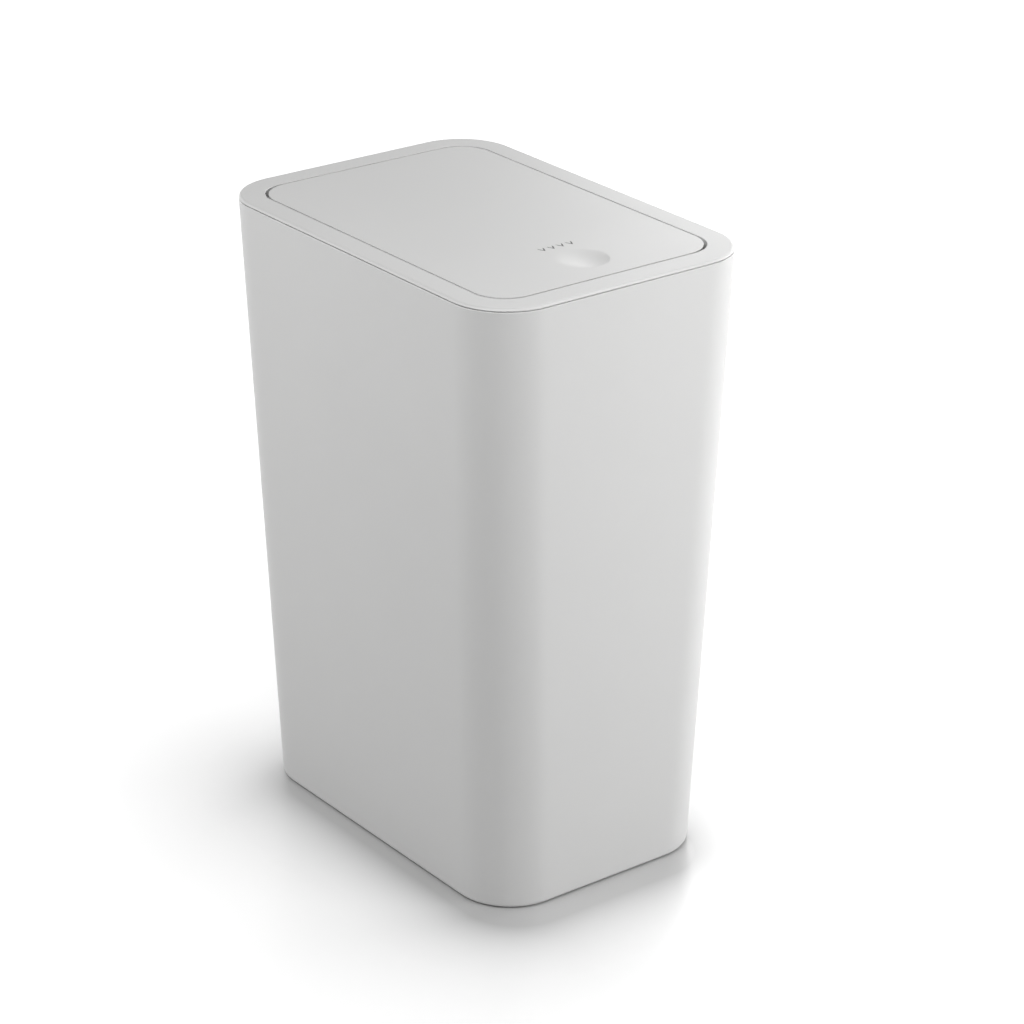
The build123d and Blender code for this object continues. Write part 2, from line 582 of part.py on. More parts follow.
# ---- lid -------------------------------------------------------------------------------------
EYE_GAP = 0.3             # channel under the skin to the lugs' eyes
BOSS_R = 3.0
LID_SCREWS = [(side * 60.0, y) for y in (-85.0, -13.0, 58.0) for side in (-1, 1)]
MARK_DEEP, MARK_T = 0.25, 0.2
MARK_X, MARK_Y, MARK_STROKE = 3.6, 4.4, 0.9


def lid_panel():
    """Flush skin with a rim that hangs down and is lower behind the hinge, where it dips into the frame."""
    panel = slab(LID_X, LID_Y, LID_CORNER, LID_RIM_Z, HEIGHT)
    panel = fillet(edges_at(panel, HEIGHT), SOFT_EDGE)
    inner = LID_CORNER - SHELL
    panel -= slab(LID_X - SHELL, LID_Y - SHELL, inner, LID_RIM_Z, BAND_Z)
    panel -= block(-LID_X, LID_X, RIM_STEP_Y, LID_Y, LID_RIM_Z, REAR_RIM_Z)
    for side in (-1, 1):
        x0, x1 = mirrored((PIN_SPAN[0] - 0.4, LID_X - SHELL), side)
        panel -= rod_x(x0, x1, AXIS_Y, AXIS_Z, KNUCKLE_R + EYE_GAP)
    x, y = DIMPLE_AT
    panel += rod_z(x, y, BAND_Z - 2.2, BAND_Z, DIMPLE_R)
    ball_r = (DIMPLE_R ** 2 + DIMPLE_DEEP ** 2) / (2 * DIMPLE_DEEP)
    panel -= Pos(x, y, HEIGHT - DIMPLE_DEEP + ball_r) * Sphere(ball_r)
    for x, y in LID_SCREWS:
        boss = rod_z(x, y, LINER_Z + LINER_T, BAND_Z, BOSS_R)
        panel += boss - rod_z(x, y, LINER_Z + LINER_T, BAND_Z, LID_SCREW[1] + HOLD)
    for chevron in chevrons(MARK_DEEP):
        panel -= Pos(0, 0, HEIGHT - MARK_DEEP) * chevron
    return panel


def chevrons(thickness):
    """Four chevrons in a row that point at the dimple, with their undersides at z = 0."""
    wide, tall, stroke = MARK_X / 2, MARK_Y / 2, MARK_STROKE
    points = [(-wide, tall), (0, -tall + stroke), (wide, tall), (wide, tall - 2 * stroke)]
    points += [(0, -tall - stroke), (-wide, tall - 2 * stroke)]
    face = make_face(Polyline(*points, close=True))
    x, y = MARK_AT
    return [extrude(Pos(x + MARK_PITCH * (k - 1.5), y) * face, thickness) for k in range(4)]


def press_mark():
    return [Pos(0, 0, HEIGHT - MARK_DEEP) * chevron for chevron in chevrons(MARK_T)]


def lid_liner():
    """Inner lid: plate, hinge knuckles on bars and the gear sector."""
    half_x, half_y = LID_X - SHELL - LINER_FIT, LID_Y - SHELL - LINER_FIT
    liner = slab(half_x, half_y, LID_CORNER - SHELL, LINER_Z, LINER_Z + LINER_T)
    liner -= block(-FAR, FAR, LINER_REAR, FAR, LINER_Z, LINER_Z + LINER_T)
    front, rear = -half_y + 18, LINER_REAR - 16
    field = slab(half_x - 14, (rear - front) / 2, 12, LINER_Z, LINER_Z + 0.6)
    liner -= Pos(0, (front + rear) / 2, 0) * field
    for side in (-1, 1):
        for span in (INNER_KNUCKLE, OUTER_KNUCKLE):
            liner += knuckle(*mirrored(span, side))
    liner += gear_bar() + gear_sector()
    for x, y in LID_SCREWS:
        liner -= rod_z(x, y, LINER_Z, LINER_Z + LINER_T, LID_SCREW[1] + SCREW_CLEAR)
    slot = (STEM_X + 0.3, STEM_Y + 0.3)
    liner -= block(-slot[0], slot[0], LATCH_Y - slot[1], LATCH_Y + slot[1], LINER_Z, LINER_Z + LINER_T)
    for side in (-1, 1):
        hole_r = STRIKER_SCREW[1] + SCREW_CLEAR
        liner -= rod_z(side * STRIKER_SCREW_X, LATCH_Y, LINER_Z, LINER_Z + LINER_T, hole_r)
    return liner


def hinge_bar(x0, x1):
    """Bar from the liner's plate to the hinge axis."""
    return block(x0, x1, BAR_FRONT, AXIS_Y, LINER_Z, AXIS_Z + 1.7)


def gear_bar():
    """Bar to the gear sector, arched over the pinion."""
    x0, x1 = GEAR_X - GEAR_HALF, GEAR_X + GEAR_HALF
    over_pinion = PINION_Z + PINION_R + ADDENDUM + 0.5
    return hinge_bar(x0, x1) - block(x0, x1, PINION_Y - 7.0, AXIS_Y, LINER_Z, over_pinion)


def knuckle(x0, x1):
    """Bar and eye, with the bore that holds the pin."""
    eye = rod_x(x0, x1, AXIS_Y, AXIS_Z, KNUCKLE_R)
    bar = hinge_bar(x0, x1) - block(x0, x1, AXIS_Y - KNUCKLE_R, AXIS_Y, LINER_Z, AXIS_Z - KNUCKLE_R + 0.4)
    return bar + eye - rod_x(x0 - 1, x1 + 1, AXIS_Y, AXIS_Z, PIN_R + HOLD)


def hinge_pin(side):
    """Steel pin with chamfered ends."""
    pin = rod_x(*mirrored(PIN_SPAN, side), AXIS_Y, AXIS_Z, PIN_R)
    return chamfer(pin.edges().filter_by(GeomType.CIRCLE), 0.3)


def lid_screws():
    return [screw_up(x, y, LINER_Z, LID_SCREW) for x, y in LID_SCREWS]


# ---- torsion springs -------------------------------------------------------------------------
SPRING_TURNS = 6
BEND_FULL = 1.15
LEG_LONG, LEG_UP = 15.0, 1.3            # end of the lid leg: before the axis and over it


def hinge_spring(side):
    """Coil around the pin, one leg forward under the lid and one leg down into the pocket's stop."""
    x0, x1 = SPRING_SPAN
    reach = hypot(LEG_LONG, LEG_UP)
    start = 180 - degrees(atan2(LEG_UP, LEG_LONG)) + degrees(acos(SPRING_R / reach))
    turns = SPRING_TURNS + (180 - start) / 360
    wound = Rot(0, 0, start) * coil(SPRING_R, SPRING_WIRE, x1 - x0, turns)
    axis = Plane(origin=(x0, AXIS_Y, AXIS_Z), x_dir=(0, 1, 0), z_dir=(1, 0, 0))
    at = radians(start)
    tangent = (x0, AXIS_Y + SPRING_R * cos(at), AXIS_Z + SPRING_R * sin(at))
    lid_leg = wire_rod((x0, AXIS_Y - LEG_LONG, AXIS_Z + LEG_UP), tangent)
    low = LEG_LOW_Z + SPRING_WIRE
    frame_leg = wire_rod((x1, AXIS_Y - SPRING_R, low), (x1, AXIS_Y - SPRING_R, AXIS_Z))
    spring = axis * wound + lid_leg + frame_leg
    return spring if side > 0 else mirror(spring, about=Plane.YZ)


def wire_rod(free, bend):
    """Straight spring wire, round at its free end and a little fuller where it bends into the coil."""
    run = Line(free, bend)
    rod = sweep(Plane(origin=run @ 0, z_dir=run % 0) * Circle(SPRING_WIRE), path=run)
    return rod + Pos(*free) * Sphere(SPRING_WIRE) + Pos(*bend) * Sphere(SPRING_WIRE * BEND_FULL)


# ---- write the nodes -------------------------------------------------------------------------
save("bucket", bucket())
for name, (px, py) in zip(("front_left", "front_right", "rear_left", "rear_right"), pad_places()):
    save(f"foot_pad_{name}", foot_pad(px, py))
save("bag_ring", bag_ring())
save("lid_frame", lid_frame())
save("lid_panel", lid_panel())
save("press_mark", *press_mark())
save("lid_liner", lid_liner())
save("lid_screws", *lid_screws())
save("lid_striker", lid_striker())
save("striker_screws", *striker_screws())
save("latch_housing", latch_housing())
save("latch_cover", latch_cover())
save("latch_slider", latch_slider())
save("latch_spring", latch_spring())
save("latch_pin", latch_pin())
save("latch_screws", *latch_screws())
save("damper_body", damper_body())
save("damper_pinion", damper_pinion())
save("damper_clip", damper_clip())
save("damper_screws", *damper_screws())
for hand, side in (("left", -1), ("right", 1)):
    save(f"hinge_pin_{hand}", hinge_pin(side))
    save(f"hinge_spring_{hand}", hinge_spring(side))
    save(f"lid_buffer_{hand}", lid_buffer(side))
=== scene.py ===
import logging
from dataclasses import dataclass
from enum import Enum
from math import radians
from types import MappingProxyType
from typing import Mapping, Sequence, Union

import bmesh
import bpy
import numpy as np
from mathutils import Matrix, Vector


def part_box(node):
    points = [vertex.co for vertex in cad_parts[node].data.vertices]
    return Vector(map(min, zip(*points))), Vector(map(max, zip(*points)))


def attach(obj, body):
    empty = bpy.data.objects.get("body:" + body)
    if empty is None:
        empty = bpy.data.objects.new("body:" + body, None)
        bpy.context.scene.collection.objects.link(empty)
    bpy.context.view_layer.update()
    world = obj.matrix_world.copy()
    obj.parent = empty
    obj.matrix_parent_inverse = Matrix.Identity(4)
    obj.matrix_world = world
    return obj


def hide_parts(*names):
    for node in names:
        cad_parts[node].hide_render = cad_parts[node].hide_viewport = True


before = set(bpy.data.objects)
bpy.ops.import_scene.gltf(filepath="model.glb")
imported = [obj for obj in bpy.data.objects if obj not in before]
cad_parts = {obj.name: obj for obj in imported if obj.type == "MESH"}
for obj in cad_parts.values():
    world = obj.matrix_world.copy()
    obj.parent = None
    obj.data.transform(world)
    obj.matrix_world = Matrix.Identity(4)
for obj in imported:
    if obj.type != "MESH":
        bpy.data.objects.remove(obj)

# Push top countertop bin. Sizes in this file are millimetres and angles are degrees, unless a name
# or a comment says otherwise. The construction comes from the frame. Here the bucket and the lid's
# panel get their final surfaces, every piece gets its finish, and the studio is set up.

MM = 0.001                # metres in a millimetre
MERGE_DIGITS = 4          # decimals of a millimetre at which points of a node's mesh are one
MERGE_M = 1e-7            # metres within which points of a piece's mesh are one
SHORT_M = 1e-8            # metres below which an edge is dissolved
RIM_REACH = 0.02          # how far past its rim the dimple's triangles are looked for
SHARP_SURFACE = 35.0      # angle above which an edge of a new surface stays sharp
SHARP_NODE = 30.0         # the same on a mesh that comes from a node
SHARP_WIRE = 50.0         # the same on a node that is a wire, which has coarser facets
PLAIN, RICH = 2.0, 3.0    # octaves of noise
LOG = logging.getLogger("bin")

Colour = tuple[float, float, float]
Triple = tuple[float, float, float]
Number = Union[float, "Signal"]

NO_INPUTS: Mapping = MappingProxyType({})
EVEN: Triple = (1.0, 1.0, 1.0)
BLACK: Colour = (0.0, 0.0, 0.0)
WHITE: Colour = (1.0, 1.0, 1.0)


class Slot(Enum):
    """Material slots of the record."""

    SHELL = "white_shell"
    INNER = "inner_white"
    RING = "ring_grey"
    MARK = "mark_grey"
    CATCH = "catch_grey"
    SLIDER = "slider_white"
    DAMPER = "damper_grey"
    PINION = "pinion_nylon"
    SPRING = "spring_steel"
    ZINC = "zinc_steel"
    RUBBER = "soft_rubber"


class Body(Enum):
    """Rigid bodies of the frame."""

    BUCKET = "bucket"
    RING = "bag_ring"
    FRAME = "lid_frame"
    LID = "lid"
    SLIDER = "latch_slider"
    ROTOR = "damper_rotor"


FOOT_PADS = tuple(
    f"foot_pad_{end}_{side}" for end in ("front", "rear") for side in ("left", "right"))


# ---- shader maths ------------------------------------------------------------------------------
class Signal:
    """A number that varies over a surface: one socket, with arithmetic that adds Math nodes."""

    def __init__(self, nodes: "Nodes", socket: bpy.types.NodeSocket) -> None:
        """Wraps an output socket of a node tree."""
        self.nodes = nodes
        self.socket = socket

    def _math(self, operation: str, left: Number, right: Number) -> "Signal":
        """The result of one Math node on two operands."""
        node = self.nodes.node("ShaderNodeMath", {0: left, 1: right}, operation=operation)
        return Signal(self.nodes, node.outputs[0])

    def __add__(self, other: Number) -> "Signal":
        """Sum."""
        return self._math("ADD", self, other)

    __radd__ = __add__

    def __sub__(self, other: Number) -> "Signal":
        """Difference."""
        return self._math("SUBTRACT", self, other)

    def __rsub__(self, other: Number) -> "Signal":
        """Difference the other way round."""
        return self._math("SUBTRACT", other, self)

    def __mul__(self, other: Number) -> "Signal":
        """Product."""
        return self._math("MULTIPLY", self, other)

    __rmul__ = __mul__

    def at_least(self, other: Number) -> "Signal":
        """The larger of the two."""
        return self._math("MAXIMUM", self, other)

    def exponential(self) -> "Signal":
        """The number e raised to the value."""
        return self._math("EXPONENT", self, 0.0)

    def magnitude(self) -> "Signal":
        """The value without its sign."""
        return self._math("ABSOLUTE", self, 0.0)

    def centred(self) -> "Signal":
        """A value from 0 to 1, spread from -1 to 1."""
        return self * 2.0 - 1.0

    def share(self) -> "Signal":
        """A value from -1 to 1, brought between 0 and 1."""
        return self * 0.5 + 0.5


class Nodes:
    """An emptied node tree that nodes are added to."""

    def __init__(self, owner: Union[bpy.types.Material, bpy.types.World]) -> None:
        """Empties the owner's tree.

        Args:
            owner: a material or a world.
        """
        owner.use_nodes = True
        self.tree = owner.node_tree
        self.tree.nodes.clear()

    def node(self, kind: str, inputs: Mapping = NO_INPUTS, **settings: object) -> bpy.types.Node:
        """Adds a node.

        Args:
            kind: the node's type.
            inputs: socket identifier or number to a value, a socket or a Signal.
            **settings: attributes, which are set first.

        Returns:
            The node.
        """
        made = self.tree.nodes.new(kind)
        for name, value in settings.items():
            setattr(made, name, value)
        sockets = {socket.identifier: socket for socket in made.inputs}
        for key, value in inputs.items():
            target = made.inputs[key] if isinstance(key, int) else sockets[key]
            source = value.socket if isinstance(value, Signal) else value
            if isinstance(source, bpy.types.NodeSocket):
                self.tree.links.new(source, target)
            else:
                target.default_value = source
        return made

    def seen(self) -> Signal:
        """Tells what the picture shows from what only gets light.

        Returns:
            1 on rays from the camera, off gloss or through glass, else 0.
        """
        rays = self.node("ShaderNodeLightPath")
        camera, glossy, through = (
            Signal(self, rays.outputs[f"Is {kind} Ray"])
            for kind in ("Camera", "Glossy", "Transmission"))
        return camera.at_least(glossy).at_least(through)


class Paint(Nodes):
    """A material under construction."""

    def __init__(self, name: str) -> None:
        """Starts an empty material under a name."""
        self.material = bpy.data.materials.new(name)
        super().__init__(self.material)

    def place(self, stretch: Triple = EVEN) -> bpy.types.NodeSocket:
        """The point in the piece's own coordinates, times a factor along each axis."""
        point = self.node("ShaderNodeTexCoord").outputs["Object"]
        return self.node("ShaderNodeMapping", {"Vector": point, "Scale": stretch}).outputs["Vector"]

    def noise(self, size_mm: float, detail: float = PLAIN, stretch: Triple = EVEN) -> Signal:
        """Noise from about -1 to 1.

        Args:
            size_mm: size of its features.
            detail: octaves.
            stretch: factor along each axis, above 1 for a finer pattern along it.

        Returns:
            The noise.
        """
        inputs = {"Vector": self.place(stretch), "Scale": 1.0 / (size_mm * MM), "Detail": detail}
        made = self.node("ShaderNodeTexNoise", inputs, noise_dimensions="3D")
        return Signal(self, made.outputs[0]).centred()

    def tint(self, colour: Colour, other: Colour, amount: Signal) -> bpy.types.NodeSocket:
        """Mixes two colours.

        Args:
            colour: the colour at 0.
            other: the colour at 1.
            amount: the share of the other colour.

        Returns:
            A colour socket.
        """
        inputs = {"Factor_Float": amount, "A_Color": (*colour, 1.0), "B_Color": (*other, 1.0)}
        mix = self.node("ShaderNodeMix", inputs, data_type="RGBA", clamp_factor=True)
        return next(socket for socket in mix.outputs if socket.identifier == "Result_Color")

    def bump(self, height: Signal, depth_mm: float) -> bpy.types.NodeSocket:
        """Normal of a fine relief, from its height, of which 1 stands for a depth."""
        inputs = {"Height": height, "Distance": depth_mm * MM, "Strength": 1.0}
        return self.node("ShaderNodeBump", inputs).outputs["Normal"]

    def finished(self, inputs: Mapping[str, object]) -> bpy.types.Material:
        """Ends the material in a Principled shader.

        Args:
            inputs: the shader's values.

        Returns:
            The finished material.
        """
        shader = self.node("ShaderNodeBsdfPrincipled", inputs)
        self.node("ShaderNodeOutputMaterial", {"Surface": shader.outputs[0]})
        return self.material


# ---- finishes ----------------------------------------------------------------------------------
def scaled(colour: Colour, factor: float) -> Colour:
    """The colour with each channel times the factor."""
    return tuple(channel * factor for channel in colour)


@dataclass(frozen=True)
class MouldedPlastic:
    """Plastic out of a finely spark-eroded mould: even grain, a faint mottle, a soft sheen."""

    slot: Slot
    colour: Colour
    roughness: float
    grain_mm: float = 0.45
    grain_deep_mm: float = 0.006
    grain_sheen: float = 0.02
    mottle_mm: float = 60.0
    mottle: float = 0.02
    sheen: float = 0.05
    ior: float = 1.49

    def material(self) -> bpy.types.Material:
        """Builds the node tree.

        Returns:
            The material.
        """
        paint = Paint(self.slot.value)
        mottle = paint.noise(self.mottle_mm, RICH).share()
        grain = paint.noise(self.grain_mm)
        middle = self.roughness - self.sheen / 2
        return paint.finished({
            "Base Color": paint.tint(self.colour, scaled(self.colour, 1.0 - self.mottle), mottle),
            "Roughness": mottle * self.sheen + grain * self.grain_sheen + middle,
            "Normal": paint.bump(grain, self.grain_deep_mm),
            "IOR": self.ior,
        })


@dataclass(frozen=True)
class Steel:
    """Bare metal with fine streaks along one axis."""

    slot: Slot
    colour: Colour
    roughness: float
    streak_mm: float = 0.3
    streak_along: Triple = (0.08, 1.0, 1.0)
    streak_sheen: float = 0.05
    streak_deep_mm: float = 0.002
    cloud_mm: float = 4.0
    cloud_dark: float = 0.82
    dull: float = 0.12

    def material(self) -> bpy.types.Material:
        """Builds the node tree.

        Returns:
            The material.
        """
        paint = Paint(self.slot.value)
        streak = paint.noise(self.streak_mm, PLAIN, self.streak_along)
        cloud = paint.noise(self.cloud_mm).share()
        return paint.finished({
            "Base Color": paint.tint(self.colour, scaled(self.colour, self.cloud_dark), cloud),
            "Metallic": 1.0,
            "Roughness": streak * self.streak_sheen + cloud * self.dull + self.roughness,
            "Normal": paint.bump(streak, self.streak_deep_mm),
        })


@dataclass(frozen=True)
class Rubber:
    """Soft rubber with a dusty bloom in its grain."""

    slot: Slot
    colour: Colour
    roughness: float = 0.8
    grain_mm: float = 0.3
    grain_deep_mm: float = 0.02
    grain_sheen: float = 0.05
    bloom_mm: float = 3.0
    bloom_pale: float = 1.35

    def material(self) -> bpy.types.Material:
        """Builds the node tree.

        Returns:
            The material.
        """
        paint = Paint(self.slot.value)
        grain = paint.noise(self.grain_mm, RICH)
        bloom = paint.noise(self.bloom_mm, RICH).share()
        return paint.finished({
            "Base Color": paint.tint(self.colour, scaled(self.colour, self.bloom_pale), bloom),
            "Roughness": grain * self.grain_sheen + self.roughness,
            "Normal": paint.bump(grain, self.grain_deep_mm),
        })


FINISHES: tuple[Union[MouldedPlastic, Steel, Rubber], ...] = (
    MouldedPlastic(Slot.SHELL, (0.74, 0.74, 0.735), 0.5),
    MouldedPlastic(Slot.INNER, (0.72, 0.72, 0.715), 0.5),
    MouldedPlastic(Slot.RING, (0.36, 0.37, 0.38), 0.5),
    MouldedPlastic(Slot.MARK, (0.13, 0.13, 0.13), 0.6, mottle=0.1),
    MouldedPlastic(Slot.CATCH, (0.09, 0.092, 0.095), 0.5, mottle=0.1),
    MouldedPlastic(Slot.SLIDER, (0.78, 0.78, 0.76), 0.35),
    MouldedPlastic(Slot.DAMPER, (0.035, 0.035, 0.037), 0.35, mottle=0.15),
    MouldedPlastic(Slot.PINION, (0.7, 0.685, 0.62), 0.38),
    Steel(Slot.SPRING, (0.56, 0.56, 0.57), 0.22),
    Steel(Slot.ZINC, (0.66, 0.67, 0.69), 0.3),
    Rubber(Slot.RUBBER, (0.18, 0.18, 0.18)),
)


class Paintbox:
    """Every finish's material, made once."""

    def __init__(self) -> None:
        """Builds the materials."""
        self.of = {finish.slot: finish.material() for finish in FINISHES}

    def dress(self, piece: bpy.types.Object, slot: Slot) -> None:
        """Gives a piece its slot's material."""
        piece.data.materials.clear()
        piece.data.materials.append(self.of[slot])


# ---- surfaces ----------------------------------------------------------------------------------
def link(name: str, data: bpy.types.ID) -> bpy.types.Object:
    """Makes an object, unturned at the origin, and links it to the scene.

    Args:
        name: the object's name.
        data: its mesh, lamp or camera.

    Returns:
        The object.
    """
    made = bpy.data.objects.new(name, data)
    bpy.context.scene.collection.objects.link(made)
    return made


def mesh_of(name: str, points: np.ndarray, faces: Sequence) -> bpy.types.Mesh:
    """Makes a mesh.

    Args:
        name: the mesh's name.
        points: (count, 3) places.
        faces: lists of corner numbers.

    Returns:
        The mesh, in metres.
    """
    mesh = bpy.data.meshes.new(name)
    mesh.from_pydata((points * MM).tolist(), [], [list(face) for face in faces])
    return mesh


def finish_mesh(name: str, mesh: bpy.types.Mesh, sharp: float) -> bpy.types.Object:
    """Merges double points, marks sharp edges and weights the normals by face area.

    Args:
        name: the piece's name.
        mesh: its mesh.
        sharp: angle above which an edge stays sharp.

    Returns:
        The object, linked to the scene.
    """
    work = bmesh.new()
    work.from_mesh(mesh)
    bmesh.ops.remove_doubles(work, verts=work.verts, dist=MERGE_M)
    bmesh.ops.dissolve_degenerate(work, edges=work.edges, dist=SHORT_M)
    limit = radians(sharp)
    for edge in work.edges:
        edge.smooth = edge.calc_face_angle(0.0) < limit
    for face in work.faces:
        face.smooth = True
    work.to_mesh(mesh)
    work.free()
    if "custom_normal" in mesh.attributes:
        mesh.attributes.remove(mesh.attributes["custom_normal"])
    piece = link(name, mesh)
    weigh = piece.modifiers.new("face_weighted_normals", "WEIGHTED_NORMAL")
    weigh.keep_sharp = True
    return piece


def strips(rows: int, columns: int, closed_rows: bool = False) -> np.ndarray:
    """Quads between neighbouring loops of points, each loop closed on itself.

    Args:
        rows: number of loops.
        columns: points in each loop.
        closed_rows: whether the last loop joins the first.

    Returns:
        (count, 4) corner numbers.
    """
    count = rows if closed_rows else rows - 1
    row, column = np.meshgrid(np.arange(count), np.arange(columns), indexing="ij")
    here, after, right = row * columns, (row + 1) % rows * columns, (column + 1) % columns
    corners = (here + column, here + right, after + right, after + column)
    return np.stack(corners, axis=-1).reshape(-1, 4)


def fan(tip: int, loop: np.ndarray) -> np.ndarray:
    """Triangles over a closed loop, as numbers: tip, point, next point."""
    return np.stack([np.full(len(loop), tip), loop, np.roll(loop, -1)], axis=-1)


def triangles(node: bpy.types.Object) -> tuple[np.ndarray, np.ndarray]:
    """A node's mesh as arrays, with its loose triangles merged.

    Args:
        node: the node.

    Returns:
        (count, 3) places and (faces, 3) corner numbers.
    """
    mesh = node.data
    mesh.calc_loop_triangles()
    places = np.empty(3 * len(mesh.vertices))
    mesh.vertices.foreach_get("co", places)
    corners = np.empty(3 * len(mesh.loop_triangles), dtype=np.int64)
    mesh.loop_triangles.foreach_get("vertices", corners)
    places = places.reshape(-1, 3) / MM
    _, first, merged = np.unique(
        np.round(places, MERGE_DIGITS), axis=0, return_index=True, return_inverse=True)
    faces = merged.reshape(-1)[corners].reshape(-1, 3)
    whole = (faces != np.roll(faces, 1, axis=1)).all(axis=1)
    return places[first], faces[whole]


def arc(middle: tuple[float, float], radius: float, start: float, end: float,
        steps: int) -> np.ndarray:
    """Points on an arc: middle + radius * (cos a, sin a), with a from start to end.

    Args:
        middle: the arc's middle.
        radius: its radius.
        start: first angle.
        end: last angle.
        steps: number of steps.

    Returns:
        (steps + 1, 2) points.
    """
    angle = np.radians(np.linspace(start, end, steps + 1))
    x = middle[0] + radius * np.cos(angle)
    y = middle[1] + radius * np.sin(angle)
    return np.stack([x, y], axis=-1)


@dataclass(frozen=True)
class Outline:
    """Rounded rectangle, walked anticlockwise from the front end of its rear right corner.

    A corner is middle + radius * (cos a, sin a), with a over a quarter turn. A side runs straight
    from one corner to the next, with extra points close to its ends so that the corner's shading
    stays there.
    """

    steps: int = 24
    runs: tuple[float, ...] = (0.012, 0.12, 0.5, 0.88, 0.988)
    signs: tuple[tuple[int, int], ...] = ((1, 1), (-1, 1), (-1, -1), (1, -1))

    def loops(self, half_x: np.ndarray, half_y: np.ndarray, radius: np.ndarray) -> np.ndarray:
        """Outlines of many sizes at once.

        Args:
            half_x: (count,) half widths.
            half_y: (count,) half lengths.
            radius: (count,) corner radii.

        Returns:
            (count, points, 2) places.
        """
        half_x, half_y, radius = (np.asarray(a, float)[:, None] for a in (half_x, half_y, radius))
        corners = []
        for quarter, (sign_x, sign_y) in enumerate(self.signs):
            turn = np.radians(90.0 * quarter + np.linspace(0.0, 90.0, self.steps + 1))[None, :]
            x = sign_x * (half_x - radius) + radius * np.cos(turn)
            y = sign_y * (half_y - radius) + radius * np.sin(turn)
            corners.append(np.stack([x, y], axis=-1))
        share = np.array(self.runs)[None, :, None]
        walk = []
        for here, there in zip(corners, corners[1:] + corners[:1]):
            walk.append(here)
            walk.append(here[:, -1:] * (1 - share) + there[:, :1] * share)
        return np.concatenate(walk, axis=1)


# ---- sub-assemblies ----------------------------------------------------------------------------
class Assembly:
    """What every sub-assembly does: copies nodes, dresses pieces and hangs them on a body."""

    def __init__(self, paintbox: Paintbox) -> None:
        """Keeps the materials."""
        self.paintbox = paintbox

    def hang(self, piece: bpy.types.Object, body: Body, slot: Slot,
             nodes: Sequence[str] = ()) -> None:
        """Dresses a new piece and makes it ride, in place of nodes if some are named.

        Args:
            piece: the piece.
            body: the body that it rides on.
            slot: its slot.
            nodes: nodes that it stands for.
        """
        self.paintbox.dress(piece, slot)
        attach(piece, body.value)
        if nodes:
            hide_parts(*nodes)
        LOG.info("%s on %s, %d faces", piece.name, body.value, len(piece.data.polygons))

    def keep(self, body: Body, slot: Slot, *nodes: str, sharp: float = SHARP_NODE) -> None:
        """Shows nodes as merged copies with smooth shading between their sharp edges.

        Args:
            body: their body.
            slot: their slot.
            *nodes: the nodes.
            sharp: angle above which an edge stays sharp.
        """
        for node in nodes:
            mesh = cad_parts[node].data.copy()
            mesh.materials.clear()
            self.hang(finish_mesh(f"{node}_piece", mesh, sharp), body, slot, (node,))


@dataclass(frozen=True)
class BucketSizes:
    """The bucket's profile. Heights count from the worktop."""

    base_x: float = 74.6           # half width at the foot
    base_y: float = 114.3          # half length at the foot
    corner: float = 33.0           # outer corner radius, the same at every height
    wall: float = 2.4
    floor_top: float = 6.0
    floor_fillet: float = 4.0
    under_top: float = 3.5         # top of the hollow under the base
    foot_rim: float = 4.5          # width of the rim round that hollow
    foot_fillet: float = 2.0
    ledge_in: float = 2.0          # the ledge that carries the bag ring
    ledge_low: float = 320.0
    ledge_top: float = 326.0
    rim_low: float = 330.0         # first row above the ledge
    rim_fillet: float = 0.4        # round on the rim's outer edge
    chamfer: float = 0.3           # on the ledge and on the rim's inner edge
    above_fillet: float = 1.0      # first row inside, above the floor's fillet
    below_rim: float = 2.0         # first row outside, below the rim
    above_foot: float = 3.2        # last row outside, above the foot
    inner_rows: tuple[float, ...] = (80.0, 160.0, 240.0, 310.0)
    outer_rows: tuple[float, ...] = (320.0, 240.0, 160.0, 80.0, 20.0)
    fillet_steps: int = 8
    rim_steps: int = 6
    seat_outer: float = 10.0       # radii of the collar round a pad
    seat_inner: float = 8.3
    seat_low: float = 1.5
    seat_root: float = 0.5         # how far the collar goes up into the base
    seat_steps: int = 64


